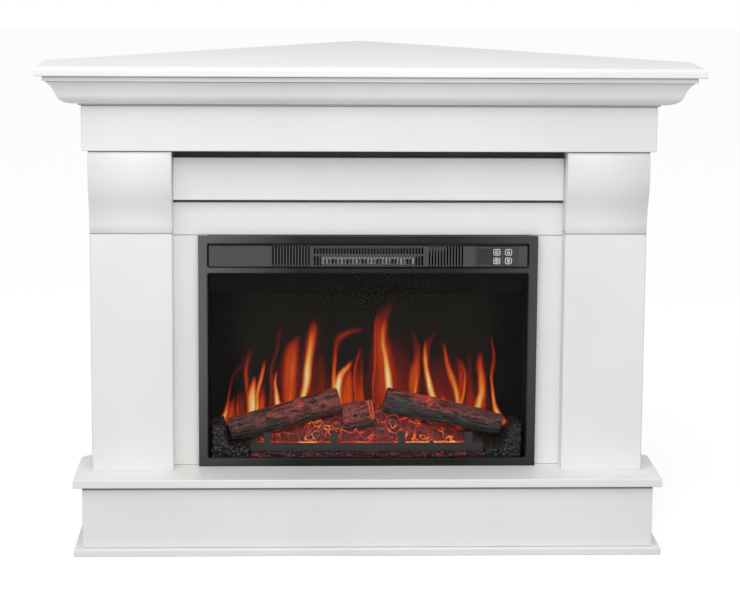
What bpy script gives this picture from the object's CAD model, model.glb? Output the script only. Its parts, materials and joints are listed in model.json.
import json
import math

import bmesh
import bpy
import numpy as np
from mathutils import Matrix, Vector, noise


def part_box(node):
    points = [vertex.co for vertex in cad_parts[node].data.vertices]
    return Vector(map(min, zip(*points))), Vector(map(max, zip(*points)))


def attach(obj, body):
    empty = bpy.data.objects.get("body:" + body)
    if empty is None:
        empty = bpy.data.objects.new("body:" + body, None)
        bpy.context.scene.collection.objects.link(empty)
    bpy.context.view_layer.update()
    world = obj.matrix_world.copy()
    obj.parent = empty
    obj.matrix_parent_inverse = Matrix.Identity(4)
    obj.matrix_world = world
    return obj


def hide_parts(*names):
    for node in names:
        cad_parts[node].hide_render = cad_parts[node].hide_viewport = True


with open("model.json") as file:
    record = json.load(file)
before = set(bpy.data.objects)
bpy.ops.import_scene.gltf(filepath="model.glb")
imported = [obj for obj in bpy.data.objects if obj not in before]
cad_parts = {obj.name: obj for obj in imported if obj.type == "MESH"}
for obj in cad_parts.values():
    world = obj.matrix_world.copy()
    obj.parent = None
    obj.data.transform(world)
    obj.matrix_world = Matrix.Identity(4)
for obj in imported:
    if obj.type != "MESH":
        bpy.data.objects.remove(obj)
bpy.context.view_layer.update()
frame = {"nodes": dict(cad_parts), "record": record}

nodes = frame["nodes"]
mm = 0.001
print("frame loaded:", len(nodes), "solids")


# the camera, as the photograph was taken: in front, a little to the left, above the top board
cameraView = {
    "place": (-0.1324, -4.0, 1.110),
    "turn": 2.04,      # degrees to the right
    "dip": 8.39,       # degrees downwards
    "roll": 0.37,
    "lens": 109.25,    # mm on a 36 mm frame
    "rise": -0.10,     # vertical shift, which keeps the uprights nearly upright
}


def makeCamera():
    camera = bpy.data.objects.new("camera", bpy.data.cameras.new("camera"))
    bpy.context.collection.objects.link(camera)
    camera.data.lens = cameraView["lens"]
    camera.data.shift_y = cameraView["rise"]
    turn = Matrix.Rotation(-math.radians(cameraView["turn"]), 4, "Z")
    dip = Matrix.Rotation(math.radians(90 - cameraView["dip"]), 4, "X")
    roll = Matrix.Rotation(math.radians(cameraView["roll"]), 4, "Z")
    camera.matrix_world = Matrix.Translation(cameraView["place"]) @ turn @ dip @ roll
    bpy.context.scene.camera = camera


makeCamera()
bpy.context.scene.view_settings.view_transform = "Standard"
print("camera placed")


# small helpers
def hexColour(code):
    # sRGB hex to the linear values that the sockets take
    channels = [int(code[i:i + 2], 16) / 255 for i in (1, 3, 5)]
    linear = [c / 12.92 if c <= 0.04045 else ((c + 0.055) / 1.055) ** 2.4 for c in channels]
    return (*linear, 1.0)


def addNode(tree, kind, inputs=None, stops=None, curves=None, **settings):
    # one node: its settings, its inputs (values, or outputs to link) and the points of a ramp or curve
    node = tree.nodes.new("ShaderNode" + kind)
    for name, value in settings.items():
        setattr(node, name, value)
    for socket, value in (inputs or {}).items():
        if isinstance(value, bpy.types.NodeSocket):
            tree.links.new(value, node.inputs[socket])
        else:
            node.inputs[socket].default_value = value
    for i, (place, colour) in enumerate(stops or ()):
        elements = node.color_ramp.elements
        element = elements[i] if i < 2 else elements.new(place)
        element.position = place
        element.color = hexColour(colour)
    for channel, points in enumerate(curves or ()):
        curve = node.mapping.curves[channel]
        for i, (x, y) in enumerate(points):
            if i < 2:
                curve.points[i].location = (x, y)
            else:
                curve.points.new(x, y)
    if curves:
        node.mapping.update()
    return node


def startMaterial(name, colour, sockets):
    # a material with its Principled shader and the place on the object in metres
    material = bpy.data.materials.new(name)
    material.use_nodes = True
    tree = material.node_tree
    shader = tree.nodes["Principled BSDF"]
    shader.inputs["Base Color"].default_value = hexColour(colour)
    for socket, value in sockets.items():
        shader.inputs[socket].default_value = value
    place = addNode(tree, "TexCoord").outputs["Object"]
    return material, tree, shader, place


def perMetre(size):
    # texture scale for a pattern whose features are this many millimetres
    return 1000 / size


# materials of the mantel
def satinLacquer():
    # MDF sprayed with satin white lacquer: soft sheen, faint orange peel, and a dark hairline where the
    # paint stops at a joint between two boards
    paint = {"tone": "#f0f0ef", "shade": "#eaeae8", "peel": 2.5, "cloud": 260}
    joints = [
        # board, its upper edge (1) or lower edge (0), mm below that edge, mm wide, how dark the line is,
        # and where it runs: right across, or only between or beside the pilasters' inner edges
        ("crown_front", 1, 1.1, 1.7, 0.7, "across"),
        ("crown_front", 1, 9.6, 1.5, 0.65, "across"),
        ("crown_front", 0, -1.4, 1.6, 0.7, "across"),
        ("crown_front", 0, 1.2, 1.7, 0.8, "across"),
        ("pilaster_left", 1, 0.8, 1.4, 0.75, "beside"),
        ("capital_left", 1, 0.9, 1.6, 0.9, "beside"),
        ("frieze_rail", 1, 0.3, 2.4, 0.75, "between"),
        ("lower_rail", 1, 1.0, 1.8, 0.94, "between"),
        ("stile_left", 1, 0.7, 1.0, 0.45, "between"),
        ("plinth_front", 1, 2.4, 5.4, 0.82, "across"),
    ]
    material, tree, shader, place = startMaterial(
        "satin white lacquer", paint["tone"], {"Roughness": 0.4, "IOR": 1.5})
    cloud = addNode(tree, "TexNoise", {"Vector": place, "Scale": perMetre(paint["cloud"]), "Detail": 2})
    tone = addNode(tree, "ValToRGB", {0: cloud.outputs[0]},
                   stops=[(0.35, paint["shade"]), (0.65, paint["tone"])])
    spot = addNode(tree, "SeparateXYZ", {0: place})
    aside = addNode(tree, "Math", {0: spot.outputs["X"]}, operation="ABSOLUTE")
    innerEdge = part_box("pilaster_right")[0].x - 0.1 * mm
    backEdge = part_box("pilaster_right")[1].y
    outer = addNode(tree, "Math", {0: aside.outputs[0], 1: innerEdge}, operation="GREATER_THAN")
    forward = addNode(tree, "Math", {0: spot.outputs["Y"], 1: backEdge}, operation="LESS_THAN")
    beside = addNode(tree, "Math", {0: outer.outputs[0], 1: forward.outputs[0]}, operation="MULTIPLY")
    between = addNode(tree, "Math", {0: aside.outputs[0], 1: innerEdge}, operation="LESS_THAN")
    runs = {"beside": beside.outputs[0], "between": between.outputs[0], "across": 1.0}
    darkness = 0.0
    for board, edge, below, width, depth, run in joints:
        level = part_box(board)[edge].z - below * mm
        away = addNode(tree, "Math", {0: spot.outputs["Z"], 1: level}, operation="SUBTRACT")
        apart = addNode(tree, "Math", {0: away.outputs[0]}, operation="ABSOLUTE")
        # full over the middle of the line, and gone just beyond its edges
        line = addNode(tree, "MapRange", {0: apart.outputs[0], 1: 0.3 * width * mm, 2: 0.6 * width * mm,
                                          3: depth, 4: 0.0})
        held = addNode(tree, "Math", {0: line.outputs[0], 1: runs[run]}, operation="MULTIPLY")
        darkest = addNode(tree, "Math", {0: darkness, 1: held.outputs[0]}, operation="MAXIMUM")
        darkness = darkest.outputs[0]
    light = addNode(tree, "Math", {0: 1.0, 1: darkness}, operation="SUBTRACT").outputs[0]
    lined = addNode(tree, "VectorMath", {0: tone.outputs[0], "Scale": light}, operation="SCALE")
    tree.links.new(lined.outputs[0], shader.inputs["Base Color"])
    sheen = addNode(tree, "MapRange", {0: cloud.outputs[0], 1: 0.3, 2: 0.7, 3: 0.36, 4: 0.44})
    tree.links.new(sheen.outputs[0], shader.inputs["Roughness"])
    peel = addNode(tree, "TexNoise", {"Vector": place, "Scale": perMetre(paint["peel"]), "Detail": 1})
    bump = addNode(tree, "Bump", {"Strength": 0.25, "Distance": 0.02 * mm, "Height": peel.outputs[0]})
    tree.links.new(bump.outputs[0], shader.inputs["Normal"])
    return material


def rawFibreboard():
    # unpainted MDF: pressed wood fibres a millimetre or two long, matt and mottled brown
    board = {"pale": "#b39a78", "dark": "#9c8462", "fibre": 1.6, "mottle": 14}
    material, tree, shader, place = startMaterial(
        "raw fibreboard", board["pale"], {"Roughness": 0.85, "IOR": 1.5})
    fibre = addNode(tree, "TexNoise", {"Vector": place, "Scale": perMetre(board["fibre"]),
                                       "Detail": 4, "Distortion": 1.2})
    mottle = addNode(tree, "TexNoise", {"Vector": place, "Scale": perMetre(board["mottle"]),
                                        "Detail": 3})
    both = addNode(tree, "Math", {0: fibre.outputs[0], 1: mottle.outputs[0]}, operation="MULTIPLY")
    tone = addNode(tree, "ValToRGB", {0: both.outputs[0]},
                   stops=[(0.12, board["dark"]), (0.38, board["pale"])])
    tree.links.new(tone.outputs[0], shader.inputs["Base Color"])
    bump = addNode(tree, "Bump", {"Strength": 0.4, "Distance": 0.1 * mm, "Height": fibre.outputs[0]})
    tree.links.new(bump.outputs[0], shader.inputs["Normal"])
    return material


# materials of the electric fire
def powderCoat():
    # steel sheet with baked black powder: tiny pimples that break up the sheen
    coat = {"tone": "#232323", "dark": "#1b1b1b", "grain": 0.9, "patch": 60}
    material, tree, shader, place = startMaterial(
        "black powder coat", coat["tone"], {"Roughness": 0.45, "IOR": 1.45})
    patch = addNode(tree, "TexNoise", {"Vector": place, "Scale": perMetre(coat["patch"])})
    tone = addNode(tree, "ValToRGB", {0: patch.outputs[0]},
                   stops=[(0.3, coat["dark"]), (0.7, coat["tone"])])
    tree.links.new(tone.outputs[0], shader.inputs["Base Color"])
    grain = addNode(tree, "TexNoise", {"Vector": place, "Scale": perMetre(coat["grain"]), "Detail": 2})
    bump = addNode(tree, "Bump", {"Strength": 0.35, "Distance": 0.03 * mm, "Height": grain.outputs[0]})
    tree.links.new(bump.outputs[0], shader.inputs["Normal"])
    return material


def satinEnamel():
    # the trim's pressed steel frame in satin black enamel, rubbed a little greyer towards its two ends
    enamel = {"left": "#5e5e5d", "middle": "#101010", "right": "#404040", "foot": 0.4, "grain": 1.2}
    material, tree, shader, place = startMaterial(
        "satin black enamel", enamel["middle"],
        {"Roughness": 0.4, "IOR": 1.45, "Specular IOR Level": 0.25})
    low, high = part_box("trim_frame")
    spot = addNode(tree, "SeparateXYZ", {0: place})
    along = addNode(tree, "MapRange", {0: spot.outputs["X"], 1: low.x, 2: high.x})
    rubbed = addNode(tree, "ValToRGB", {0: along.outputs[0]}, stops=[
        (0.0, enamel["left"]), (1.0, enamel["right"]),
        (0.3, enamel["middle"]), (0.75, enamel["middle"])])
    waist = low.z + 0.5 * (high.z - low.z)   # below this the frame darkens towards its foot
    upward = addNode(tree, "MapRange", {0: spot.outputs["Z"], 1: low.z, 2: waist,
                                        3: enamel["foot"], 4: 1.0})
    tone = addNode(tree, "VectorMath", {0: rubbed.outputs[0], "Scale": upward.outputs[0]},
                   operation="SCALE")
    tree.links.new(tone.outputs[0], shader.inputs["Base Color"])
    grain = addNode(tree, "TexNoise", {"Vector": place, "Scale": perMetre(enamel["grain"]), "Detail": 2})
    bump = addNode(tree, "Bump", {"Strength": 0.3, "Distance": 0.02 * mm, "Height": grain.outputs[0]})
    tree.links.new(bump.outputs[0], shader.inputs["Normal"])
    return material


def stoveBlack():
    # the matt black heat-proof paint inside the firebox: swallows nearly all light
    paint = {"tone": "#0d0d0d", "dusty": "#131312", "patch": 45, "grain": 0.7}
    material, tree, shader, place = startMaterial(
        "matt black stove paint", paint["tone"],
        {"Roughness": 0.8, "IOR": 1.45, "Specular IOR Level": 0.15})
    patch = addNode(tree, "TexNoise", {"Vector": place, "Scale": perMetre(paint["patch"]), "Detail": 2})
    tone = addNode(tree, "ValToRGB", {0: patch.outputs[0]},
                   stops=[(0.35, paint["tone"]), (0.65, paint["dusty"])])
    tree.links.new(tone.outputs[0], shader.inputs["Base Color"])
    grain = addNode(tree, "TexNoise", {"Vector": place, "Scale": perMetre(paint["grain"])})
    bump = addNode(tree, "Bump", {"Strength": 0.4, "Distance": 0.03 * mm, "Height": grain.outputs[0]})
    tree.links.new(bump.outputs[0], shader.inputs["Normal"])
    return material


def zincSheet():
    # galvanised steel: a grey metal with the crystal spangle of the zinc
    zinc = {"tone": "#a9acae", "pale": "#c3c6c8", "spangle": 7}
    material, tree, shader, place = startMaterial(
        "galvanised sheet", zinc["tone"], {"Metallic": 1.0, "Roughness": 0.4})
    spangle = addNode(tree, "TexVoronoi", {"Vector": place, "Scale": perMetre(zinc["spangle"])})
    tone = addNode(tree, "ValToRGB", {0: spangle.outputs["Color"]},
                   stops=[(0.2, zinc["tone"]), (0.8, zinc["pale"])])
    tree.links.new(tone.outputs[0], shader.inputs["Base Color"])
    rough = addNode(tree, "MapRange", {0: spangle.outputs["Color"], 3: 0.32, 4: 0.5})
    tree.links.new(rough.outputs[0], shader.inputs["Roughness"])
    return material


def mouldedPlastic(name="moulded black ABS", tone="#333334", dark="#2b2b2c", rough=0.45):
    # ABS from a spark-eroded mould: satin black with a fine, even grain
    plastic = {"grain": 0.8, "flow": 90}
    material, tree, shader, place = startMaterial(name, tone, {"Roughness": rough, "IOR": 1.53})
    flow = addNode(tree, "TexNoise", {"Vector": place, "Scale": perMetre(plastic["flow"])})
    shade = addNode(tree, "ValToRGB", {0: flow.outputs[0]}, stops=[(0.3, dark), (0.7, tone)])
    tree.links.new(shade.outputs[0], shader.inputs["Base Color"])
    grain = addNode(tree, "TexNoise", {"Vector": place, "Scale": perMetre(plastic["grain"])})
    bump = addNode(tree, "Bump", {"Strength": 0.3, "Distance": 0.02 * mm, "Height": grain.outputs[0]})
    tree.links.new(bump.outputs[0], shader.inputs["Normal"])
    return material


def toughenedGlass():
    # clear float glass: all but invisible from the front, with a thin gloss and the odd fine smear
    glass = {"tint": "#040606", "seen": 0.045, "smear": 70}
    material, tree, shader, place = startMaterial(
        "toughened glass", glass["tint"], {"Roughness": 0.03, "IOR": 1.52, "Alpha": glass["seen"]})
    smear = addNode(tree, "TexNoise", {"Vector": place, "Scale": perMetre(glass["smear"]), "Detail": 3})
    sheen = addNode(tree, "MapRange", {0: smear.outputs[0], 1: 0.35, 2: 0.7, 3: 0.02, 4: 0.09})
    tree.links.new(sheen.outputs[0], shader.inputs["Roughness"])
    return material


def smokedLens():
    # smoked acrylic over an unlit display: near black and glossy
    lens = {"deep": "#101011", "hazy": "#1f1f20", "haze": 9}
    material, tree, shader, place = startMaterial(
        "smoked acrylic", lens["deep"], {"Roughness": 0.12, "IOR": 1.49})
    haze = addNode(tree, "TexNoise", {"Vector": place, "Scale": perMetre(lens["haze"]), "Detail": 2})
    tone = addNode(tree, "ValToRGB", {0: haze.outputs[0]},
                   stops=[(0.3, lens["deep"]), (0.8, lens["hazy"])])
    tree.links.new(tone.outputs[0], shader.inputs["Base Color"])
    return material


def rolledAluminium():
    # bright rolled sheet: fine lines along the length catch the light
    metal = {"tone": "#e6e8e8", "bright": "#fbfbfb", "line": 1.1}
    material, tree, shader, place = startMaterial(
        "rolled aluminium", metal["tone"], {"Metallic": 0.6, "Roughness": 0.5})
    stretched = addNode(tree, "Mapping", {0: place, "Scale": (0.05, 1, 1)})
    line = addNode(tree, "TexNoise", {"Vector": stretched.outputs[0], "Scale": perMetre(metal["line"])})
    tone = addNode(tree, "ValToRGB", {0: line.outputs[0]},
                   stops=[(0.3, metal["tone"]), (0.7, metal["bright"])])
    tree.links.new(tone.outputs[0], shader.inputs["Base Color"])
    return material


def heaterFins():
    # folded aluminium fins of the heater, bright where the light through the slots catches them
    fins = {"tone": "#e4e6e6", "bright": "#fafafa", "pitch": 3.0, "sheen": 0.14}
    material, tree, shader, place = startMaterial(
        "folded aluminium fins", fins["tone"], {"Metallic": 0.5, "Roughness": 0.45})
    stretched = addNode(tree, "Mapping", {0: place, "Scale": (1, 1, 0.1)})
    fold = addNode(tree, "TexNoise", {"Vector": stretched.outputs[0], "Scale": perMetre(fins["pitch"])})
    tone = addNode(tree, "ValToRGB", {0: fold.outputs[0]},
                   stops=[(0.35, fins["tone"]), (0.65, fins["bright"])])
    tree.links.new(tone.outputs[0], shader.inputs["Base Color"])
    shader.inputs["Emission Color"].default_value = hexColour(fins["bright"])
    shader.inputs["Emission Strength"].default_value = fins["sheen"]
    return material


def circuitLaminate():
    # glass-fibre laminate under green solder mask, with the copper tracks showing as paler lines
    laminate = {"mask": "#1c5b37", "track": "#2f7a4c", "pitch": 4}
    material, tree, shader, place = startMaterial(
        "green circuit laminate", laminate["mask"], {"Roughness": 0.35, "IOR": 1.5})
    track = addNode(tree, "TexBrick", {"Vector": place, "Scale": perMetre(laminate["pitch"]),
                                       "Color1": hexColour(laminate["mask"]),
                                       "Color2": hexColour(laminate["mask"]),
                                       "Mortar": hexColour(laminate["track"]), "Mortar Size": 0.06})
    tree.links.new(track.outputs[0], shader.inputs["Base Color"])
    return material


# The fire's picture is light thrown from behind onto the dark film of the screen.
# Each tongue is a line of points up its middle: x from the middle of the screen, z above its foot,
# half-width (all in mm) and heat from 0 to 1.
flamePicture = {
    "film": "#0d0c0a",
    "halfWidth": 275,
    "widest": 60,
    "wander": 2.5,        # mm that the edges waver
    "waver": 34,          # mm from one waver to the next
    "streak": 7,          # mm between the fine upright streaks
    "flicker": (0.88, 1.08),   # how far the streaks dim and lift the heat
    "dimSides": 0.25,          # what is left of the film's tone at its sides
    "darkSides": (205, 240),   # the film falls off to black between these distances from the middle
    "bodyEdge": (1.5, 0.15),   # a body is even across its middle, and ends at 1.5 half-widths
    "coreEdge": (1.7, 0.0),    # a core has its heat in the middle only
    "unlitBelow": (36, 50),    # no light reaches the film between these heights and its foot
    "colours": [(0.0, "#110e0a"), (0.1, "#220f0c"), (0.26, "#56140f"), (0.42, "#962509"),
                (0.56, "#bd450f"), (0.7, "#d07724"), (0.84, "#d4a658"), (1.0, "#dfcea6")],
}
flameBodies = [
    [(-205, 60, 36, 0.24), (-205, 90, 30, 0.16), (-205, 120, 20, 0.0)],
    [(-100, 80, 56, 0.32), (-100, 120, 46, 0.26), (-100, 165, 34, 0.16), (-98, 205, 20, 0.0)],
    [(50, 90, 60, 0.34), (48, 130, 52, 0.3), (45, 175, 38, 0.2), (40, 225, 24, 0.0)],
    [(140, 75, 58, 0.34), (138, 115, 54, 0.28), (135, 150, 44, 0.18), (132, 190, 30, 0.0)],
    [(195, 64, 36, 0.3), (195, 100, 30, 0.22), (195, 140, 20, 0.0)],
    [(-240, 50, 12, 0.0), (-240, 57, 12, 0.55), (-237, 70, 10, 0.5), (-234, 88, 6, 0.4),
     (-232, 104, 3, 0.0)],
    [(-217, 58, 9, 0.42), (-219, 80, 9, 0.34), (-219, 100, 7, 0.26), (-220, 118, 4, 0.0)],
    [(-186, 62, 11, 0.56), (-185, 90, 10, 0.52), (-184, 108, 6, 0.36), (-182, 126, 3, 0.0)],
    [(-166, 70, 5, 0.3), (-167, 119, 5, 0.34), (-167, 137, 4, 0.36), (-163, 160, 4, 0.3),
     (-155, 186, 4, 0.22), (-155, 206, 5, 0.2), (-150, 222, 6, 0.14), (-145, 236, 5, 0.0)],
    [(-136, 84, 11, 0.5), (-135, 110, 15, 0.54), (-134, 146, 16, 0.54), (-132, 174, 15, 0.5),
     (-129, 194, 12, 0.4), (-121, 212, 6, 0.0)],
    [(-108, 84, 16, 0.46), (-106, 120, 15, 0.44), (-103, 165, 13, 0.42), (-97, 205, 12, 0.38),
     (-93, 226, 9, 0.3), (-91, 240, 6, 0.0)],
    [(-76, 90, 15, 0.42), (-78, 120, 12, 0.31), (-79, 160, 8, 0.22), (-80, 200, 4, 0.0)],
    [(-34, 84, 16, 0.58), (-31, 112, 13, 0.55), (-29, 132, 10, 0.5), (-27, 146, 5, 0.34),
     (-26, 156, 3, 0.0)],
    [(-12, 90, 8, 0.5), (-14, 128, 6, 0.38), (-16, 158, 6, 0.26), (-14, 190, 4, 0.0)],
    [(-6, 84, 8, 0.58), (-7, 112, 6, 0.5), (-7, 140, 5, 0.36), (-8, 190, 3, 0.0)],
    [(40, 92, 35, 0.44), (38, 112, 32, 0.45), (35, 137, 29, 0.46), (31, 165, 25, 0.5),
     (28, 192, 20, 0.5), (25, 216, 15, 0.46), (26, 238, 11, 0.34), (34, 254, 8, 0.24),
     (38, 268, 7, 0.12), (39, 278, 6, 0.0)],
    [(85, 90, 11, 0.52), (85, 128, 11, 0.56), (86, 148, 10, 0.54), (88, 165, 8, 0.46),
     (88, 182, 8, 0.34), (87, 196, 7, 0.26), (82, 212, 5, 0.18), (76, 232, 4, 0.0)],
    [(116, 84, 13, 0.5), (113, 110, 11, 0.42), (110, 150, 8, 0.36), (109, 184, 6, 0.3),
     (116, 208, 6, 0.2), (122, 228, 5, 0.0)],
    [(134, 80, 13, 0.42), (131, 110, 10, 0.3), (130, 142, 9, 0.26), (128, 178, 6, 0.0)],
    [(165, 76, 10, 0.48), (166, 120, 8, 0.46), (166, 142, 7, 0.42), (164, 158, 6, 0.32),
     (161, 176, 5, 0.0)],
    [(186, 68, 11, 0.46), (184, 100, 9, 0.36), (183, 130, 7, 0.26), (182, 164, 6, 0.16),
     (181, 188, 5, 0.0)],
    [(203, 64, 11, 0.5), (204, 100, 10, 0.46), (204, 135, 8, 0.42), (202, 162, 6, 0.34),
     (201, 188, 4, 0.0)],
    [(246, 48, 10, 0.0), (246, 53, 10, 0.62), (247, 58, 10, 0.6), (247, 63, 8, 0.0)],
]
flameCores = [
    [(-253, 50, 5, 0.0), (-252, 56, 5, 0.95), (-249, 66, 5, 0.9), (-246, 74, 5, 0.75),
     (-243, 90, 4, 0.5), (-242, 104, 3, 0.36), (-238, 124, 3, 0.26), (-234, 138, 4, 0.22),
     (-226, 147, 7, 0.2), (-215, 158, 8, 0.18), (-205, 176, 5, 0.18), (-202, 196, 4, 0.0)],
    [(-224, 60, 3, 0.55), (-225, 90, 3, 0.42), (-226, 118, 3, 0.0)],
    [(-201, 66, 8, 0.95), (-201, 92, 8, 0.93), (-200, 112, 7, 0.86), (-199, 126, 5, 0.66),
     (-198, 139, 3, 0.0)],
    [(-208, 104, 3, 0.5), (-211, 130, 4, 0.5), (-211, 148, 4, 0.44), (-208, 160, 4, 0.34),
     (-205, 174, 5, 0.26), (-202, 192, 4, 0.0)],
    [(-193, 66, 5, 0.9), (-193, 100, 4, 0.78), (-190, 118, 4, 0.76), (-186, 136, 4, 0.72),
     (-182, 150, 4, 0.6), (-180, 161, 4, 0.36), (-178, 172, 4, 0.0)],
    [(-153, 80, 9, 0.94), (-157, 96, 7, 0.9), (-160, 112, 5, 0.84), (-161, 126, 4, 0.76),
     (-158, 138, 3, 0.6), (-154, 150, 2, 0.0)],
    [(-134, 88, 7, 0.66), (-133, 124, 6, 0.62), (-130, 158, 5, 0.58), (-128, 192, 5, 0.0)],
    [(-113, 84, 8, 1.0), (-110, 104, 8, 1.0), (-106, 122, 8, 1.0), (-103, 148, 9, 0.95),
     (-100, 174, 9, 0.84), (-97, 196, 9, 0.7), (-94, 214, 9, 0.54), (-92, 228, 8, 0.34),
     (-91, 240, 6, 0.0)],
    [(-56, 108, 5, 0.9), (-57, 134, 5, 0.76), (-57, 150, 4, 0.62), (-56, 166, 4, 0.52),
     (-55, 184, 4, 0.4), (-52, 196, 6, 0.36), (-45, 207, 10, 0.4), (-34, 214, 14, 0.4),
     (-24, 219, 14, 0.32), (-14, 226, 10, 0.0)],
    [(-51, 104, 12, 1.0), (-48, 126, 11, 0.96), (-43, 140, 10, 0.85), (-36, 150, 9, 0.74),
     (-29, 158, 7, 0.58), (-26, 167, 5, 0.0)],
    [(-18, 100, 3, 0.62), (-18, 138, 3, 0.54), (-15, 164, 3, 0.44), (-12, 180, 3, 0.32),
     (-10, 196, 3, 0.0)],
    [(44, 104, 10, 1.0), (41, 124, 8, 1.0), (38, 142, 8, 0.98), (36, 158, 7, 0.93),
     (33, 176, 7, 0.84), (31, 194, 7, 0.76), (31, 212, 7, 0.68), (32, 226, 7, 0.56),
     (35, 242, 5, 0.36), (41, 258, 4, 0.26), (44, 270, 3, 0.0)],
    [(14, 184, 3, 0.5), (15, 212, 3, 0.52), (17, 232, 3, 0.46), (22, 248, 4, 0.3),
     (26, 262, 3, 0.0)],
    [(87, 92, 4, 0.84), (88, 114, 3, 0.74), (89, 132, 3, 0.62), (90, 150, 3, 0.0)],
    [(122, 84, 10, 1.0), (115, 110, 8, 1.0), (110, 132, 7, 0.95), (107, 150, 6, 0.86),
     (105, 168, 6, 0.74), (104, 182, 5, 0.62), (106, 194, 5, 0.44), (111, 208, 5, 0.0)],
    [(137, 80, 4, 0.66), (137, 96, 4, 0.58), (137, 110, 3, 0.0)],
    [(165, 78, 7, 0.86), (160, 104, 6, 0.84), (152, 130, 7, 0.74), (146, 148, 6, 0.64),
     (141, 168, 4, 0.52), (137, 185, 3, 0.42), (133, 202, 2, 0.0)],
    [(167, 78, 5, 0.8), (172, 108, 4, 0.66), (174, 130, 4, 0.56), (173, 146, 4, 0.48),
     (168, 160, 6, 0.34), (163, 172, 5, 0.0)],
    [(195, 66, 9, 0.92), (200, 94, 9, 0.84), (204, 114, 8, 0.78), (204, 132, 8, 0.7),
     (202, 150, 7, 0.6), (201, 166, 6, 0.48), (201, 182, 4, 0.0)],
    [(241, 47, 10, 0.0), (240, 53, 10, 0.6), (238, 60, 9, 0.76), (233, 70, 7, 0.88),
     (229, 82, 5, 0.84), (225, 99, 4, 0.76), (223, 117, 3, 0.68), (222, 132, 3, 0.6),
     (224, 150, 4, 0.46), (225, 168, 4, 0.4), (223, 186, 3, 0.36), (220, 200, 3, 0.28),
     (217, 213, 2, 0.0)],
    [(256, 48, 6, 0.0), (256, 53, 6, 1.0), (257, 58, 6, 0.98), (256, 62, 5, 0.5),
     (255, 66, 4, 0.0)],
]


def addTongue(tree, upright, across, tongue, edge):
    # heat of one tongue: its curves give middle, half-width and heat for each height
    size, widest = flamePicture["halfWidth"], flamePicture["widest"]
    screenLow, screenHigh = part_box("flame_screen")
    middle = (screenLow.x + screenHigh.x) / 2
    bottom, top = tongue[0][1], tongue[-1][1]
    rises = [(z - bottom) / (top - bottom) for _, z, _, _ in tongue]
    rise = addNode(tree, "MapRange", {0: upright, 1: screenLow.z + bottom * mm,
                                      2: screenLow.z + top * mm})
    bend = addNode(tree, "RGBCurve", {1: rise.outputs[0]}, curves=[
        [(t, (point[0] + size) / (2 * size)) for t, point in zip(rises, tongue)],
        [(t, point[2] / widest) for t, point in zip(rises, tongue)],
        [(t, point[3]) for t, point in zip(rises, tongue)]])
    line = addNode(tree, "SeparateColor", {0: bend.outputs[0]})
    centre = addNode(tree, "MapRange", {0: line.outputs[0], 3: middle - size * mm,
                                        4: middle + size * mm})
    away = addNode(tree, "Math", {0: across, 1: centre.outputs[0]}, operation="SUBTRACT")
    share = addNode(tree, "Math", {0: away.outputs[0], 1: line.outputs[1]}, operation="DIVIDE")
    apart = addNode(tree, "Math", {0: share.outputs[0]}, operation="ABSOLUTE")
    outer, inner = (share * widest * mm for share in edge)
    soft = addNode(tree, "MapRange", {0: apart.outputs[0], 1: outer, 2: inner},
                   interpolation_type="SMOOTHSTEP")
    heat = addNode(tree, "Math", {0: soft.outputs[0], 1: line.outputs[2]}, operation="MULTIPLY")
    return heat.outputs[0]


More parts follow.
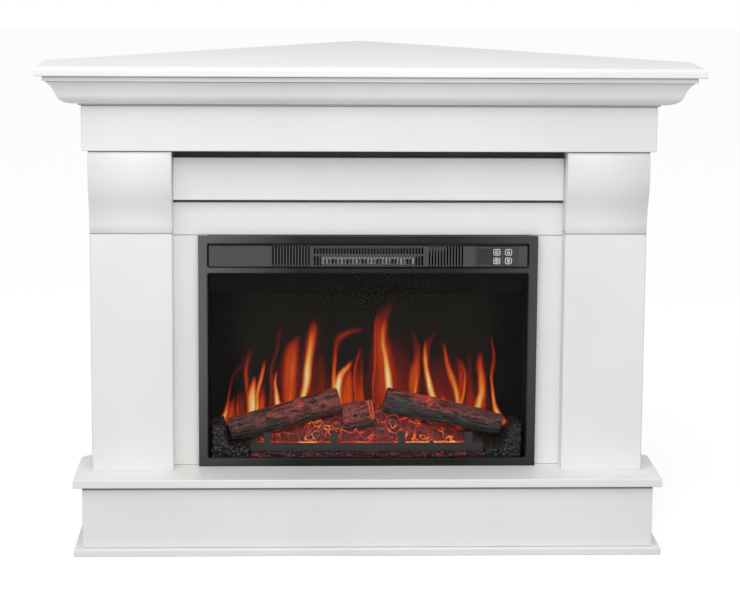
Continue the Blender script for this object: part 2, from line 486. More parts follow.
def flameFilm():
    # a dark diffusing film with moving light behind it: near black where unlit, flames from red to straw
    material, tree, shader, place = startMaterial(
        "flame film", flamePicture["film"], {"Roughness": 0.6, "IOR": 1.5, "Specular IOR Level": 0.03})
    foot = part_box("flame_screen")[0].z
    apart = addNode(tree, "SeparateXYZ", {0: place})
    upright = apart.outputs["Z"]
    stretched = addNode(tree, "Mapping", {0: place, "Scale": (1, 1, 0.45)})
    waver = addNode(tree, "TexNoise", {"Vector": stretched.outputs[0], "Detail": 2,
                                       "Scale": perMetre(flamePicture["waver"])})
    wander = flamePicture["wander"] * mm
    shift = addNode(tree, "MapRange", {0: waver.outputs[0], 1: 0.3, 2: 0.7, 3: -wander, 4: wander})
    moved = addNode(tree, "Math", {0: apart.outputs["X"], 1: shift.outputs[0]}, operation="ADD")
    heats = []
    for tongues, edge in ((flameBodies, "bodyEdge"), (flameCores, "coreEdge")):
        heats += [addTongue(tree, upright, moved.outputs[0], tongue, flamePicture[edge])
                  for tongue in tongues]
    while len(heats) > 1:   # the hotter of each pair, until one is left
        pairs = zip(heats[::2], heats[1::2])
        rest = heats[-1:] if len(heats) % 2 else []
        heats = [addNode(tree, "Math", {0: a, 1: b}, operation="MAXIMUM").outputs[0]
                 for a, b in pairs] + rest
    streaked = addNode(tree, "Mapping", {0: place, "Scale": (1, 1, 0.1)})
    streak = addNode(tree, "TexNoise", {"Vector": streaked.outputs[0], "Detail": 2,
                                        "Scale": perMetre(flamePicture["streak"])})
    dimmed, lifted = flamePicture["flicker"]
    lively = addNode(tree, "MapRange", {0: streak.outputs[0], 1: 0.3, 2: 0.7, 3: dimmed, 4: lifted})
    dark, lit = flamePicture["unlitBelow"]
    reached = addNode(tree, "MapRange", {0: upright, 1: foot + dark * mm, 2: foot + lit * mm})
    livelier = addNode(tree, "Math", {0: lively.outputs[0], 1: reached.outputs[0]}, operation="MULTIPLY")
    heat = addNode(tree, "Math", {0: heats[0], 1: livelier.outputs[0]}, operation="MULTIPLY")
    colour = addNode(tree, "ValToRGB", {0: heat.outputs[0]}, stops=flamePicture["colours"])
    aside = addNode(tree, "Math", {0: apart.outputs["X"]}, operation="ABSOLUTE")
    inner, outer = flamePicture["darkSides"]
    even = addNode(tree, "MapRange", {0: aside.outputs[0], 1: outer * mm, 2: inner * mm,
                                      3: flamePicture["dimSides"], 4: 1.0},
                   interpolation_type="SMOOTHSTEP")
    glowing = addNode(tree, "MapRange", {0: heat.outputs[0], 1: 0.05, 2: 0.2})
    shown = addNode(tree, "Math", {0: even.outputs[0], 1: glowing.outputs[0]}, operation="MAXIMUM")
    light = addNode(tree, "VectorMath", {0: colour.outputs[0], "Scale": shown.outputs[0]},
                    operation="SCALE")
    tree.links.new(light.outputs[0], shader.inputs["Emission Color"])
    shader.inputs["Emission Strength"].default_value = 1.0
    film = hexColour(flamePicture["film"])[:3]
    base = addNode(tree, "VectorMath", {0: film, "Scale": even.outputs[0]}, operation="SCALE")
    tree.links.new(base.outputs[0], shader.inputs["Base Color"])
    return material


# materials of the log set
def castBark():
    # cast resin logs, hand painted: black in the cracks, burgundy brown bark, dry-brushed pinkish
    # wrinkles, and red light from the embers where the resin is thin
    bark = {"wrinkle": 3.4, "grain": 1.3, "crack": "#120808", "body": "#4f2020", "pale": "#7c3a33",
            "brushed": "#b98378", "charDark": "#141211", "charPale": "#37302d", "charBrushed": "#7f7f80"}
    material, tree, shader, place = startMaterial(
        "painted resin bark", bark["body"], {"Roughness": 0.6, "IOR": 1.5, "Specular IOR Level": 0.2})
    relief = addNode(tree, "Attribute", attribute_name="relief").outputs["Fac"]
    char = addNode(tree, "Attribute", attribute_name="char").outputs["Fac"]
    glow = addNode(tree, "Attribute", attribute_name="glow").outputs["Fac"]
    lengthwise = addNode(tree, "Attribute", attribute_name="grainPlace").outputs["Vector"]
    wrinkle = addNode(tree, "TexNoise", {"Vector": lengthwise, "Scale": perMetre(bark["wrinkle"]),
                                         "Detail": 3, "Distortion": 0.7})
    away = addNode(tree, "Math", {0: wrinkle.outputs[0], 1: 0.5}, operation="SUBTRACT")
    apart = addNode(tree, "Math", {0: away.outputs[0]}, operation="ABSOLUTE")
    crest = addNode(tree, "MapRange", {0: apart.outputs[0], 1: 0.045, 2: 0.008})
    grain = addNode(tree, "TexNoise", {"Vector": place, "Scale": perMetre(bark["grain"]), "Detail": 3})
    speck = addNode(tree, "MapRange", {0: grain.outputs[0], 1: 0.4, 2: 0.62})
    worn = addNode(tree, "Math", {0: crest.outputs[0], 1: speck.outputs[0]}, operation="MULTIPLY")
    brushed = addNode(tree, "Math", {0: worn.outputs[0], 1: relief}, operation="MULTIPLY")
    mixed = addNode(tree, "Math", {0: wrinkle.outputs[0], 1: 0.6, 2: relief}, operation="MULTIPLY_ADD")
    painted = addNode(tree, "ValToRGB", {0: mixed.outputs[0]}, stops=[
        (0.35, bark["crack"]), (1.15, bark["pale"]), (0.75, bark["body"])])
    charred = addNode(tree, "ValToRGB", {0: mixed.outputs[0]}, stops=[
        (0.4, bark["charDark"]), (1.1, bark["charPale"])])
    barkTone = addNode(tree, "Mix", {0: brushed.outputs[0], 6: painted.outputs[0],
                                     7: hexColour(bark["brushed"])}, data_type="RGBA")
    charTone = addNode(tree, "Mix", {0: brushed.outputs[0], 6: charred.outputs[0],
                                     7: hexColour(bark["charBrushed"])}, data_type="RGBA")
    colour = addNode(tree, "Mix", {0: char, 6: barkTone.outputs[2], 7: charTone.outputs[2]},
                     data_type="RGBA")
    tree.links.new(colour.outputs[2], shader.inputs["Base Color"])
    light = addNode(tree, "ValToRGB", {0: glow}, stops=[
        (0.0, "#000000"), (1.0, "#ef9a4e"), (0.25, "#260506"), (0.55, "#741816"), (0.8, "#cf4424")])
    tree.links.new(light.outputs[0], shader.inputs["Emission Color"])
    shader.inputs["Emission Strength"].default_value = 1.0
    bump = addNode(tree, "Bump", {"Strength": 0.7, "Distance": 0.5 * mm, "Height": wrinkle.outputs[0]})
    tree.links.new(bump.outputs[0], shader.inputs["Normal"])
    return material


def glowingResin():
    # translucent resin lit from below: maroon lumps, dark stones among them, and light in the seams
    ember = {"lump": "#3e1617", "pale": "#6a2c2b", "stone": "#1c191b", "stonePale": "#4f4a4d",
             "grain": 2.0}
    material, tree, shader, place = startMaterial(
        "glowing resin embers", ember["lump"],
        {"Roughness": 0.55, "IOR": 1.5, "Specular IOR Level": 0.25})
    vein = addNode(tree, "Attribute", attribute_name="glow").outputs["Fac"]
    stone = addNode(tree, "Attribute", attribute_name="char").outputs["Fac"]
    grain = addNode(tree, "TexNoise", {"Vector": place, "Scale": perMetre(ember["grain"]), "Detail": 4})
    lump = addNode(tree, "ValToRGB", {0: grain.outputs[0]},
                   stops=[(0.35, ember["lump"]), (0.7, ember["pale"])])
    pebble = addNode(tree, "ValToRGB", {0: grain.outputs[0]},
                     stops=[(0.4, ember["stone"]), (0.65, ember["stonePale"])])
    tone = addNode(tree, "Mix", {0: stone, 6: lump.outputs[0], 7: pebble.outputs[0]}, data_type="RGBA")
    tree.links.new(tone.outputs[2], shader.inputs["Base Color"])
    fire = addNode(tree, "ValToRGB", {0: vein}, stops=[
        (0.0, "#000000"), (1.0, "#f4b055"), (0.2, "#240606"), (0.45, "#66120c"), (0.68, "#b53312"),
        (0.86, "#e07422")])
    tree.links.new(fire.outputs[0], shader.inputs["Emission Color"])
    shader.inputs["Emission Strength"].default_value = 1.0
    bump = addNode(tree, "Bump", {"Strength": 0.5, "Distance": 0.3 * mm, "Height": grain.outputs[0]})
    tree.links.new(bump.outputs[0], shader.inputs["Normal"])
    return material


def castCharcoal():
    # cast resin charcoal: black, with edges that shine where they are rubbed, and red light under some
    coal = {"deep": "#0c0b0b", "edge": "#393535", "grain": 1.5}
    material, tree, shader, place = startMaterial(
        "cast resin charcoal", coal["deep"], {"Roughness": 0.4, "IOR": 1.5, "Specular IOR Level": 0.35})
    relief = addNode(tree, "Attribute", attribute_name="relief").outputs["Fac"]
    glow = addNode(tree, "Attribute", attribute_name="glow").outputs["Fac"]
    grain = addNode(tree, "TexNoise", {"Vector": place, "Scale": perMetre(coal["grain"]), "Detail": 4})
    mixed = addNode(tree, "Math", {0: grain.outputs[0], 1: relief}, operation="MULTIPLY")
    tone = addNode(tree, "ValToRGB", {0: mixed.outputs[0]},
                   stops=[(0.3, coal["deep"]), (0.6, coal["edge"])])
    tree.links.new(tone.outputs[0], shader.inputs["Base Color"])
    rough = addNode(tree, "MapRange", {0: grain.outputs[0], 1: 0.4, 2: 0.6, 3: 0.22, 4: 0.6})
    tree.links.new(rough.outputs[0], shader.inputs["Roughness"])
    light = addNode(tree, "ValToRGB", {0: glow},
                    stops=[(0.0, "#000000"), (1.0, "#b23038"), (0.5, "#470c11")])
    tree.links.new(light.outputs[0], shader.inputs["Emission Color"])
    shader.inputs["Emission Strength"].default_value = 1.0
    bump = addNode(tree, "Bump", {"Strength": 0.6, "Distance": 0.3 * mm, "Height": grain.outputs[0]})
    tree.links.new(bump.outputs[0], shader.inputs["Normal"])
    return material


def printedInk():
    # white pad-printed ink on the keys: thin, matt, not quite opaque
    ink = {"worn": "#dedede", "fresh": "#f6f6f6", "wear": 0.8}
    material, tree, shader, place = startMaterial(
        "white printed ink", ink["fresh"], {"Roughness": 0.6, "IOR": 1.5})
    wear = addNode(tree, "TexNoise", {"Vector": place, "Scale": perMetre(ink["wear"]), "Detail": 2})
    tone = addNode(tree, "ValToRGB", {0: wear.outputs[0]},
                   stops=[(0.25, ink["worn"]), (0.5, ink["fresh"])])
    tree.links.new(tone.outputs[0], shader.inputs["Base Color"])
    return material


finishes = {
    "white_paint": satinLacquer(),
    "raw_board": rawFibreboard(),
    "black_steel": powderCoat(),
    "plain_steel": zincSheet(),
    "black_plastic": mouldedPlastic(),
    "clear_glass": toughenedGlass(),
    "display_lens": smokedLens(),
    "flame_film": flameFilm(),
    "resin_bark": castBark(),
    "resin_ember": glowingResin(),
    "resin_coal": castCharcoal(),
    "bare_aluminium": rolledAluminium(),
    "circuit_laminate": circuitLaminate(),
}
for part in frame["record"]["subparts"]:
    solid = nodes[part["node"]]
    solid.data.materials.clear()
    solid.data.materials.append(finishes[part["material_slot"]])
# pieces whose finish is a darker or smoother kind of their slot's
special = {
    "control_panel": mouldedPlastic("polished black ABS", "#1e1e1f", "#19191a", 0.3),
    "trim_frame": satinEnamel(),
    "firebox_case": stoveBlack(),
    "heating_element": heaterFins(),
}
keyNames = ("key_power", "key_flame", "key_timer", "key_heat")
special |= {name: special["control_panel"] for name in keyNames}
special |= {name: special["firebox_case"] for name in ("header_baffle", "case_divider")}
for name, finish in special.items():
    nodes[name].data.materials.clear()
    nodes[name].data.materials.append(finish)
print("materials made:", len(finishes) + len(set(special.values())))


# mantel boards with a curved section: the same solids with smooth shading over their curves
capitals = ["capital_left", "capital_right"]   # wide facets, which shade evenly once they share corners
mouldings = capitals + ["crown_front", "crown_left", "crown_right"]
slabs = ["top_board", "hearth_slab", "base_board"]   # wide flats between small rounded edges
sharpFrom = math.radians(33)


def smoothBoard(node):
    piece = bpy.data.objects.new(node + "_eased", nodes[node].data.copy())
    bpy.context.collection.objects.link(piece)
    if node in capitals:
        joined = bmesh.new()
        joined.from_mesh(piece.data)
        bmesh.ops.remove_doubles(joined, verts=joined.verts, dist=0.01 * mm)
        joined.to_mesh(piece.data)
        joined.free()
    piece.data.polygons.foreach_set("use_smooth", [True] * len(piece.data.polygons))
    piece.data.set_sharp_from_angle(angle=sharpFrom)
    if node in slabs:
        flat = piece.modifiers.new("keep flats flat", "WEIGHTED_NORMAL")
        flat.keep_sharp = True
        flat.weight = 100
    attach(piece, "root")
    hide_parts(node)


for name in mouldings + slabs:
    smoothBoard(name)
print("curved boards eased:", len(mouldings + slabs))


# shared by the pieces that are built point by point
def joinRings(mesh, rings, closed=False):
    # side faces between each ring of points and the next
    for first, second in zip(rings, rings[1:] + (rings[:1] if closed else [])):
        for k in range(len(first)):
            after = (k + 1) % len(first)
            mesh.faces.new((first[k], first[after], second[after], second[k]))


def placePiece(name, mesh, finish):
    data = bpy.data.meshes.new(name)
    mesh.to_mesh(data)
    mesh.free()
    data.materials.append(finish)
    piece = bpy.data.objects.new(name, data)
    bpy.context.collection.objects.link(piece)
    return piece


# batten behind the shadow gap over the frieze rail: left in grey primer, so that the gap reads dark
gapBatten = {         # all in mm
    "halfLength": 352,
    "front": -207.3,
    "back": -195.3,
    "low": 652,
    "high": 684,
    "ease": 1.5,
}


def greyPrimer():
    # sanded primer on MDF: flat grey, a little cloudy where it was rubbed down
    primer = {"tone": "#5b5b5a", "rubbed": "#6a6a68", "cloud": 30}
    material, tree, shader, place = startMaterial(
        "grey primer", primer["tone"], {"Roughness": 0.8, "IOR": 1.5})
    cloud = addNode(tree, "TexNoise", {"Vector": place, "Scale": perMetre(primer["cloud"]), "Detail": 3})
    tone = addNode(tree, "ValToRGB", {0: cloud.outputs[0]},
                   stops=[(0.35, primer["tone"]), (0.7, primer["rubbed"])])
    tree.links.new(tone.outputs[0], shader.inputs["Base Color"])
    return material


def makeBatten():
    mesh = bmesh.new()
    bmesh.ops.create_cube(mesh, size=1)
    front, back, low, high = (gapBatten[name] for name in ("front", "back", "low", "high"))
    size = Vector((2 * gapBatten["halfLength"], back - front, high - low))
    middle = Vector((0, (back + front) / 2, (high + low) / 2))
    for point in mesh.verts:
        point.co = Vector([a * b for a, b in zip(point.co, size)]) * mm + middle * mm
    bmesh.ops.bevel(mesh, geom=list(mesh.edges), offset=gapBatten["ease"] * mm, segments=3,
                    affect="EDGES")
    batten = placePiece("gap_batten", mesh, greyPrimer())
    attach(batten, "root")


makeBatten()


# cross-head screws that hold the two wall panels to the post and the side panels
panelScrews = {
    "radius": 3.8,       # mm
    "dome": 1.1,
    "recess": 1.2,       # depth of the cross
    "shank": 1.5,        # how far the head reaches into the board
    "sunk": 0.2,         # how far its rim sits below the board's face
    "inset": 17,         # from the upright edges of a panel
    "heights": (155, 300, 445, 590, 735),
    "sides": 16,
    "profile": [(1.0, 0.0), (0.97, 0.35), (0.86, 0.7), (0.6, 0.95), (0.26, 0.98)],   # of radius, dome
}


def makeScrew(name, middle, outward):
    upright = Vector((0, 0, 1))
    tangent = outward.cross(upright)
    mesh = bmesh.new()
    radius, dome, sides = panelScrews["radius"], panelScrews["dome"], panelScrews["sides"]
    rings = []
    for share, rise in panelScrews["profile"]:
        ring = []
        for k in range(sides):
            angle = 2 * math.pi * k / sides
            # the cross: the middle of the head, and four arms further out
            inCross = share < 0.3 or (share < 0.65 and k % 4 == 0)
            lowered = panelScrews["recess"] if inCross else 0.0
            flat = (tangent * math.cos(angle) + upright * math.sin(angle)) * radius * share
            ring.append(mesh.verts.new((middle + flat + outward * (dome * rise - lowered)) * mm))
        rings.append(ring)
    joinRings(mesh, rings)
    mesh.faces.new(rings[-1])
    under = [mesh.verts.new(point.co - outward * panelScrews["shank"] * mm) for point in rings[0]]
    joinRings(mesh, [under, rings[0]])
    mesh.faces.new(under)
    bmesh.ops.recalc_face_normals(mesh, faces=mesh.faces)
    screw = placePiece(name, mesh, finishes["plain_steel"])
    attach(screw, "root")


def screwPanel(side, sign):
    outward = Vector((sign, 1, 0)).normalized()
    tangent = outward.cross(Vector((0, 0, 1)))
    corners = [vertex.co / mm for vertex in nodes["back_panel_" + side].data.vertices]
    depth = max(corner.dot(outward) for corner in corners)
    onFace = [corner.dot(tangent) for corner in corners if corner.dot(outward) > depth - 0.5]
    inset = panelScrews["inset"]
    for column, place in enumerate((min(onFace) + inset, max(onFace) - inset)):
        for row, height in enumerate(panelScrews["heights"]):
            middle = outward * (depth - panelScrews["sunk"]) + tangent * place + Vector((0, 0, height))
            makeScrew(f"panel_screw_{side}_{column}{row}", middle, outward)


screwPanel("left", -1)
screwPanel("right", 1)
print("batten and screws fitted")


# pieces carved from their solids: an even fine mesh of the solid, moved along its normals
# shape gives, for a point in mm and its normal: mm outwards, relief, char, glow and the grain's x, y, z
def carve(node, grain, soften, shape, slot):
    piece = bpy.data.objects.new(node + "_carved", nodes[node].data.copy())
    bpy.context.collection.objects.link(piece)
    remesh = piece.modifiers.new("even mesh", "REMESH")
    remesh.mode = "VOXEL"
    remesh.voxel_size = grain * mm
    smooth = piece.modifiers.new("soften", "SMOOTH")
    smooth.iterations = soften
    bpy.context.view_layer.update()
    mesh = bpy.data.meshes.new_from_object(piece.evaluated_get(bpy.context.evaluated_depsgraph_get()))
    piece.modifiers.clear()
    piece.data = mesh
    count = len(mesh.vertices)
    places = np.empty(count * 3, np.float32)
    normals = np.empty(count * 3, np.float32)
    mesh.vertices.foreach_get("co", places)
    mesh.vertex_normals.foreach_get("vector", normals)
    places = places.reshape(-1, 3)
    normals = normals.reshape(-1, 3)
    made = np.array([shape(Vector(p) / mm, Vector(n))
                     for p, n in zip(places.tolist(), normals.tolist())])
    places = places + normals * (made[:, :1] * mm)
    mesh.vertices.foreach_set("co", places.astype(np.float32).ravel())
    for column, name in enumerate(("relief", "char", "glow")):
        attribute = mesh.attributes.new(name, "FLOAT", "POINT")
        attribute.data.foreach_set("value", made[:, column + 1].astype(np.float32))
    lengthwise = mesh.attributes.new("grainPlace", "FLOAT_VECTOR", "POINT")
    lengthwise.data.foreach_set("vector", (made[:, 4:7] * mm).astype(np.float32).ravel())
    mesh.polygons.foreach_set("use_smooth", [True] * len(mesh.polygons))
    mesh.update()
    mesh.materials.clear()
    mesh.materials.append(finishes[slot])
    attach(piece, "root")
    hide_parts(node)


def step(low, high, value):
    # 0 up to low, 1 from high on, and a soft rise between them
    t = min(1.0, max(0.0, (value - low) / (high - low)))
    return t * t * (3 - 2 * t)


def bell(distance, width):
    # 1 at no distance, falling softly to nothing at about twice the width
    return math.exp(-(distance / width) ** 2)


def ridge(place):
    # 1 along thin crests, 0 in the hollows between them
    return 1 - min(1.0, 2 * abs(noise.noise(place)))


def apartFrom(x, z, start, end):
    # distance of a point from a short line
    run = Vector(end) - Vector(start)
    way = Vector((x, z)) - Vector(start)
    share = min(1.0, max(0.0, way.dot(run) / run.length_squared))
    return (way - run * share).length


logBark = {
    "grain": 1.3,        # mm between points
    "plate": 8.0,        # width of a plate of bark
    "stretch": 4.0,      # plates are this much longer than wide
    "plateHeight": 1.5,
    "wrinkle": 3.2,
    "wrinkleStretch": 2.2,
    "wrinkleHeight": 0.8,
    "groove": 4.5,       # mm from one groove of the char to the next
    "grooveStretch": 14,
    "grooveHeight": 2.2,
    "crumbHeight": 0.4,  # of the wrinkles where the bark is charred
    "sunk": 1.6,         # the whole bark is lowered by this, so that its crests keep the log's thickness
    "knots": {           # x, z, radius in mm, and how brightly the middle glows
        "log_left": (-117, 233, 10, 1.0),
        "log_right": (118, 231, 8, 0.0),
        "log_stump": (-20, 214, 7, 0.0),
    },
    "knotLip": (2.2, 1.8),      # height and width in mm
    "knotHollow": (2.0, 3.5),   # depth and width
    "charBelow": {"log_left": -0.02, "log_right": 0.52, "log_stump": -0.2},   # upward part of the normal
    "charBlend": 0.35,
    "sootMost": 0.75,
    "veins": {"log_left": 0.4, "log_right": 0.9, "log_stump": 0.5},
    "warm": {"log_left": 0.12, "log_right": 0.37, "log_stump": 0.17},
    "brightest": 0.72,   # of the red light in the bark
    # from dark to lit, and from clean to sooty, as x in mm
    "litBetween": {"log_left": (-170, -70), "log_right": (225, 120), "log_stump": (-60, -50)},
    "sootBetween": {"log_left": (-120, -250), "log_right": (90, 240), "log_stump": (40, 90)},
    "splits": [((1, 239), (11, 204)), ((9, 239), (17, 196))],   # bright cracks in the stump, x and z
    "split": (1.6, 1.8),        # depth and width of a crack
}


def carveLog(node):
    low, high = [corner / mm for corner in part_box(node)]
    rising = node != "log_right"
    along = Vector((high.x - low.x, 0, (high.z - low.z) * 0.55 * (1 if rising else -1))).normalized()
    across = along.cross(Vector((0, 1, 0)))
    knotX, knotZ, knotRadius, knotGlow = logBark["knots"][node]
    lipHeight, lipWidth = logBark["knotLip"]
    hollowDepth, hollowWidth = logBark["knotHollow"]
    splitDepth, splitWidth = logBark["split"]
    charBelow, veins, warm = (logBark[name][node] for name in ("charBelow", "veins", "warm"))
    unlit, lit = logBark["litBetween"][node]
    clean, sooty = logBark["sootBetween"][node]
    splits = logBark["splits"] if node == "log_stump" else []
    seed = low.x

    def shape(p, n):
        s, side = p.dot(along), p.dot(across)
        grainPlace = Vector((s / logBark["stretch"], p.y, side + seed))
        wrinklePlace = Vector((s / logBark["wrinkleStretch"], p.y, side + seed))
        plates = ridge(grainPlace / logBark["plate"])
        wrinkles = ridge(wrinklePlace / logBark["wrinkle"])
        groove = ridge(Vector((s / logBark["grooveStretch"], p.y, side)) / logBark["groove"])
        # char where the log faces down, along an uneven border, and soot towards one end
        facing = n.z + 0.4 * noise.noise(Vector((s / 30, p.y / 14, side / 14)))
        char = step(charBelow, charBelow - logBark["charBlend"], facing)
        soot = 0.6 * step(0, 1, (p.x - clean) / (sooty - clean))
        soot += 0.5 * noise.noise(p / 26 + Vector((0, seed, 0)))
        soot = min(logBark["sootMost"], max(0.0, soot))
        bark = plates * logBark["plateHeight"] + wrinkles * logBark["wrinkleHeight"]
        burnt = groove * logBark["grooveHeight"] + wrinkles * logBark["crumbHeight"]
        height = bark * (1 - char)
        height += burnt * char
        relief = (0.55 * plates + 0.45 * wrinkles) * (1 - char) + (0.7 * groove + 0.3 * wrinkles) * char
        # red light: a warm body, thin veins in the bark, and a seam where bark meets char
        veinPlace = Vector((s / 2, p.y, side)) / 10 + Vector((3, seed, 5))
        vein = 1 - step(0.0, 0.06, abs(noise.noise(veinPlace)))
        patch = step(-0.15, 0.3, noise.noise(p / 30 + Vector((seed, 0, 0))))
        seam = max(0.0, 1 - 1.4 * abs(2 * char - 1)) * step(-0.2, 0.15, noise.noise(p / 12))
        reddened = 0.25 + 0.75 * step(0, 1, (p.x - unlit) / (lit - unlit))
        inBark = min(logBark["brightest"], warm * (0.6 + 0.8 * patch) + veins * vein * patch * 0.5)
        glow = inBark * (1 - char) * reddened
        glow = max(glow, veins * seam * 0.9 * reddened)
        # a knot: a sunken ring with a raised lip, and on one log a glowing heart
        knot = math.hypot((p.x - knotX) * 0.8, p.z - knotZ) if n.y < 0.3 else 999
        fromLip = knot - knotRadius * 0.75
        height += lipHeight * bell(fromLip, lipWidth) - hollowDepth * bell(knot, hollowWidth)
        relief += 0.8 * bell(fromLip, 1.6) - 0.5 * bell(knot, 6)
        heart = bell(knot - knotRadius * 0.3, 1.4) * (0.7 + 0.3 * wrinkles)
        glow = max(glow, knotGlow * heart, knotGlow * 0.5 * bell(knot, 9))
        for start, end in splits:
            split = apartFrom(p.x, p.z, start, end) if n.y < 0.2 else 99
            height -= splitDepth * bell(split, splitWidth)
            glow = max(glow, 0.95 * bell(split, 1.5), 0.5 * bell(split, 4.5))
        # the sawn ends glow in their hollows, and the knot's lip is worn and dark on its right
        sawn = step(0.75, 0.95, abs(n.dot(along)))
        glow = max(glow, sawn * step(0.3, 0.8, 1 - relief) * 0.55)
        lip = bell(knot - knotRadius * 0.8, 1.3) * step(0.1, 0.8, (p.x - knotX) / max(knot, 1))
        relief = min(1.0, max(relief, lip, 0.0))
        return height - logBark["sunk"], relief, max(char, soot, lip), min(1.0, glow), *grainPlace

    carve(node, logBark["grain"], 4, shape, "resin_bark")


emberBed = {
    "grain": 1.5,
    "lump": 18.5,        # mm across a lump of ember
    "lumpHeight": 2.8,
    "waver": 2.6,        # mm that the seams waver
    "seam": 0.9,         # half-width of the glowing line between lumps
    "stone": 6.2,        # radius of the dark stones that sit in some lumps
    "stoneHeight": 1.3,
    "crumb": 4,
    "crumbHeight": 0.4,
    "brightLine": 167.6, # z in mm where the bed meets the top of the grate's bar
    "litFrom": (-197, -182),   # x in mm over which the light comes up at the left end
    "litTo": (162, 184),       # and dies away at the right end
}


def carveEmbers():
    radius = emberBed["stone"]

    def shape(p, n):
        wobble = Vector([noise.noise(p / 6 + Vector((k, 0, k))) for k in (0, 9, 17)]) * emberBed["waver"]
        far, centres = noise.voronoi((p + wobble) / emberBed["lump"])
        edge = (far[1] - far[0]) * emberBed["lump"]
        inner = far[0] * emberBed["lump"]
        holdsStone = 1.0 if noise.noise(centres[0] * 1.7) > -0.05 else 0.0
        stone = holdsStone * (1 - step(radius - 1.2, radius, inner))
        rim = holdsStone * (1 - step(0.2, 1.7, abs(inner - radius - 0.5)))
        lump = step(0, 5, edge)
        lively = step(-0.3, 0.35, noise.noise(p / 22))
        inBed = step(*emberBed["litFrom"], p.x) * (1 - step(*emberBed["litTo"], p.x))
        # light in the seams, round the stones, faintly in the lumps, and along the foot of the bed
        vein = 1 - step(emberBed["seam"] * 0.4, emberBed["seam"] * 2.4, edge)
        halo = 0.26 * (1 - step(0, 6, edge)) + 0.1
        atFoot = (1 - step(0.8, 2.4, abs(p.z - emberBed["brightLine"]))) * (0.6 + 0.4 * lively)
        glow = max(vein * (0.48 + 0.4 * lively), rim * (0.62 + 0.33 * lively), halo * (1 - stone),
                   atFoot)
        shown = step(-0.6, 0.0, n.z) * step(0.3, -0.2, n.y - 0.6) * inBed   # not on the rear
        height = (lump - 0.75) * emberBed["lumpHeight"] + emberBed["stoneHeight"] * stone
        height += emberBed["crumbHeight"] * ridge(p / emberBed["crumb"])
        return height, lump, max(stone, 0.8 - 0.8 * inBed), glow * shown * (1 - 0.9 * stone), *p

    carve("ember_bed", emberBed["grain"], 2, shape, "resin_ember")


coalHeaps = {
    "grain": 1.4,
    "lump": 8.0,         # mm across a coal
    "lumpHeight": 2.6,
    "crumb": 2.6,
    "crumbHeight": 0.5,
    "streak": 11.0,      # mm between the red streaks of the strip under the grate
    "patch": 22,         # mm from a bright part of the strip to a dull one
}


def carveCoals(node, glowing):
    def shape(p, n):
        far, _ = noise.voronoi(p / coalHeaps["lump"])
        edge = (far[1] - far[0]) * coalHeaps["lump"]
        lump = step(0, 4, edge)
        held = step(-0.9, -0.3, n.z)   # the underside stays flat
        glow = 0.0
        if glowing:
            streak = ridge(Vector((p.x + 0.5 * p.z, p.y, p.z / 2)) / coalHeaps["streak"])
            glow = max(0.8 * step(0.76, 0.98, streak), 0.5 * (1 - step(0.4, 1.8, edge)))
            glow *= 0.35 + 0.65 * step(-0.3, 0.25, noise.noise(p / coalHeaps["patch"]))
        height = (lump - 0.8) * coalHeaps["lumpHeight"]
        height += coalHeaps["crumbHeight"] * ridge(p / coalHeaps["crumb"])
        return height * held, 0.4 + 0.6 * lump, 0.0, glow, *p

    carve(node, coalHeaps["grain"], 1, shape, "resin_coal")


for name in ("log_left", "log_right", "log_stump"):
    carveLog(name)
carveEmbers()
carveCoals("ember_strip", True)
carveCoals("coal_left", False)
carveCoals("coal_right", False)
print("log set carved")


# the charred stick that is cast against the foot of the stump
charredStick = {
    "points": [(-43, -182, 190), (-28, -185, 195), (-12, -187, 199),
               (3, -187, 203), (17, -184, 205)],   # mm
    "radii": [1.4, 2.6, 3.6, 4.3, 3.4],
    "taper": 0.55,       # share of the radius that is left at the two ends
    "bark": 0.3,         # depth of the bark, as a share of the radius
    "sides": 12,
    "steps": 6,          # rings from one point to the next
}


def makeStick():
    points = [Vector(point) for point in charredStick["points"]]
    radii, sides, steps = charredStick["radii"], charredStick["sides"], charredStick["steps"]
    mesh = bmesh.new()
    relief, char, glow = (mesh.verts.layers.float.new(name) for name in ("relief", "char", "glow"))
    lengthwise = mesh.verts.layers.float_vector.new("grainPlace")
    rings = []
    count = (len(points) - 1) * steps
    for i in range(count + 1):
        span = min(i // steps, len(points) - 2)
        t = i / steps - span
        middle = points[span].lerp(points[span + 1], t)
        direction = (points[span + 1] - points[span]).normalized()
        side = direction.cross(Vector((0, 0, 1))).normalized()
        up = side.cross(direction)
        ending = charredStick["taper"] if i in (0, count) else 1
        radius = (radii[span] * (1 - t) + radii[span + 1] * t) * ending
        ring = []
        for k in range(sides):
            angle = 2 * math.pi * k / sides
            bark = charredStick["bark"] * ridge(Vector((i / 9, k * 1.3, 0)))
            place = middle + (side * math.cos(angle) + up * math.sin(angle)) * radius * (0.8 + bark)
            point = mesh.verts.new(place * mm)
            point[relief] = 0.4 + 2 * bark
            point[char] = 1.0
            point[glow] = 0.25 * (1 - step(-0.6, 0, math.sin(angle)))   # lit from below
            point[lengthwise] = Vector((place.x / 4, place.y, place.z)) * mm
            ring.append(point)
        rings.append(ring)
    joinRings(mesh, rings)
    mesh.faces.new(rings[0])
    mesh.faces.new(rings[-1])
    bmesh.ops.recalc_face_normals(mesh, faces=mesh.faces)
    stick = placePiece("charred_stick", mesh, finishes["resin_bark"])
    stick.data.polygons.foreach_set("use_smooth", [True] * len(stick.data.polygons))
    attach(stick, "root")


makeStick()
print("stick laid")


# thin printed strokes on the keys
keyPrint = {
    "stroke": 1.0,       # mm
    "thickness": 0.1,
    "frame": (10.6, 9.9),
    "corner": 2.2,
    "symbol": 5.6,       # mm across
}


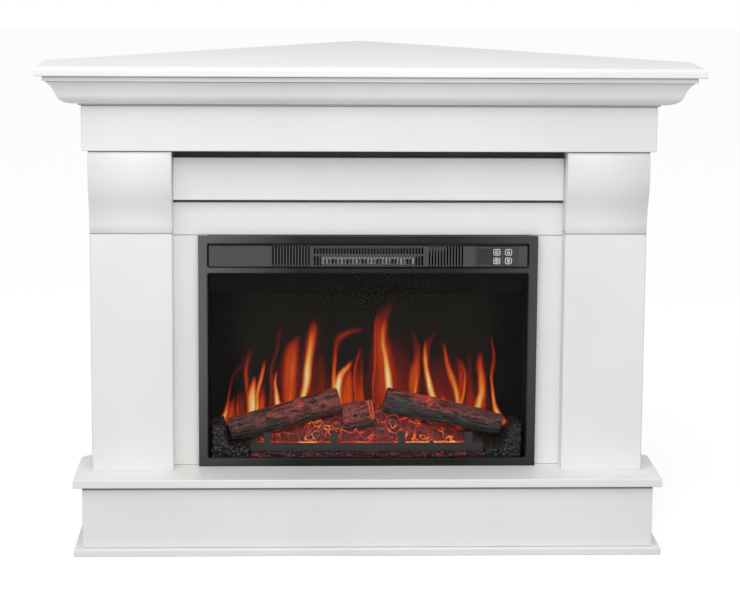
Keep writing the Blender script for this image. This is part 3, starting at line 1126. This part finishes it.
def arc(centre, radius, start, end, steps=14):
    angles = [math.radians(start + (end - start) * i / steps) for i in range(steps + 1)]
    return [(centre[0] + radius * math.cos(a), centre[1] + radius * math.sin(a)) for a in angles]


def roundedLoop(width, height, radius):
    x, z = width / 2 - radius, height / 2 - radius
    return (arc((x, -z), radius, -90, 0, 5) + arc((x, z), radius, 0, 90, 5)
            + arc((-x, z), radius, 90, 180, 5) + arc((-x, -z), radius, 180, 270, 5))


def addStroke(mesh, points, closed, centre):
    # a flat bar of ink that follows the points; centre is the middle of the key's face
    half = keyPrint["stroke"] / 2
    count = len(points)
    rings = []
    for i, (x, z) in enumerate(points):
        before = points[i - 1] if closed or i else points[0]
        after = points[(i + 1) % count] if closed or i + 1 < count else points[-1]
        direction = Vector((after[0] - before[0], after[1] - before[1])).normalized()
        side = Vector((-direction.y, direction.x)) * half
        corners = [(x + side.x, z + side.y), (x - side.x, z - side.y)]
        ring = [mesh.verts.new(centre + Vector((cx, depth, cz)) * mm)
                for depth in (0, -keyPrint["thickness"]) for cx, cz in corners]
        rings.append([ring[0], ring[1], ring[3], ring[2]])
    joinRings(mesh, rings, closed)
    if not closed:
        mesh.faces.new(rings[0])
        mesh.faces.new(rings[-1])


def keySymbol(name):
    # the strokes of a key's symbol: points as x, z from its middle, and whether the stroke closes
    r = keyPrint["symbol"] / 2
    if name == "key_power":
        return [(arc((0, -0.2), r * 0.8, 125, 415), False), ([(0, r * 1.05), (0, 0.2)], False)]
    if name == "key_flame":
        flame = [(-0.1, -r), (-r * 0.75, -r * 0.45), (-r * 0.55, r * 0.2), (-r * 0.05, r),
                 (r * 0.3, r * 0.25), (r * 0.75, -r * 0.3), (r * 0.45, -r * 0.85)]
        return [(flame, True)]
    if name == "key_timer":
        hands = [(0, r * 0.6), (0, 0), (r * 0.5, -r * 0.2)]
        return [(arc((0, 0), r * 0.95, 0, 345), True), (hands, False)]
    return [([(x + 0.35 * math.sin(k * 1.05), -r + 2 * r * k / 6) for k in range(7)], False)
            for x in (-r * 0.75, 0, r * 0.75)]   # three waves of warm air


def printKey(name):
    low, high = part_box(name)
    centre = Vector(((low.x + high.x) / 2, low.y, (low.z + high.z) / 2))
    mesh = bmesh.new()
    addStroke(mesh, roundedLoop(*keyPrint["frame"], keyPrint["corner"]), True, centre)
    for points, closed in keySymbol(name):
        addStroke(mesh, points, closed, centre)
    bmesh.ops.recalc_face_normals(mesh, faces=mesh.faces)
    piece = placePiece(name + "_print", mesh, ink)
    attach(piece, name[4:] + "_key")


ink = printedInk()
for name in keyNames:
    printKey(name)
print("keys printed")


# floor, background and light
stage = {
    "floor": "#c4c4c4",
    "floorSize": 30,
    "white": 1.0,        # what the camera sees of the background
    "floorLift": 0.7,    # light added to the floor that the camera sees; the shadow stays in it
    "daylight": 0.49,    # even light from all round
    "lamps": [
        # place, size and strength of each soft box, all aimed at the front of the object
        {"name": "key soft box", "place": (-0.3, -1.5, 1.9), "size": 1.8, "power": 23},
        {"name": "fill soft box", "place": (0.1, -2.4, 1.1), "size": 1.6, "power": 9},
    ],
    "aim": (0, -0.25, 0.55),
}


def seenDirectly(tree):
    # 1 where the camera sees the surface itself, or sees it mirrored or through glass
    path = addNode(tree, "LightPath")
    first = addNode(tree, "Math", {0: path.outputs["Is Camera Ray"], 1: path.outputs["Is Glossy Ray"]},
                    operation="MAXIMUM")
    return addNode(tree, "Math", {0: first.outputs[0], 1: path.outputs["Is Transmission Ray"]},
                   operation="MAXIMUM").outputs[0]


def makeStage():
    mesh = bpy.data.meshes.new("floor")
    half = stage["floorSize"] / 2
    mesh.from_pydata([(-half, -half, 0), (half, -half, 0), (half, half, 0), (-half, half, 0)], [],
                     [(0, 1, 2, 3)])
    floor = bpy.data.objects.new("floor", mesh)
    bpy.context.collection.objects.link(floor)
    material, tree, shader, place = startMaterial("pale floor", stage["floor"], {"Roughness": 0.9})
    shader.inputs["Specular IOR Level"].default_value = 0.0
    shader.inputs["Emission Color"].default_value = (1, 1, 1, 1)
    lift = addNode(tree, "Math", {0: seenDirectly(tree), 1: stage["floorLift"]}, operation="MULTIPLY")
    tree.links.new(lift.outputs[0], shader.inputs["Emission Strength"])
    mesh.materials.append(material)

    world = bpy.data.worlds.new("studio")
    bpy.context.scene.world = world
    world.use_nodes = True
    sky = world.node_tree.nodes["Background"]
    sky.inputs["Color"].default_value = (1, 1, 1, 1)
    level = addNode(world.node_tree, "MapRange", {0: seenDirectly(world.node_tree), 3: stage["daylight"],
                                                  4: stage["white"]})
    world.node_tree.links.new(level.outputs[0], sky.inputs["Strength"])
    for lamp in stage["lamps"]:
        light = bpy.data.lights.new(lamp["name"], "AREA")
        light.size = lamp["size"]
        light.energy = lamp["power"]
        softBox = bpy.data.objects.new(lamp["name"], light)
        bpy.context.collection.objects.link(softBox)
        softBox.location = lamp["place"]
        aim = Vector(stage["aim"]) - Vector(lamp["place"])
        softBox.rotation_euler = aim.to_track_quat("-Z", "Y").to_euler()


makeStage()
print("stage lit")

print("size written")
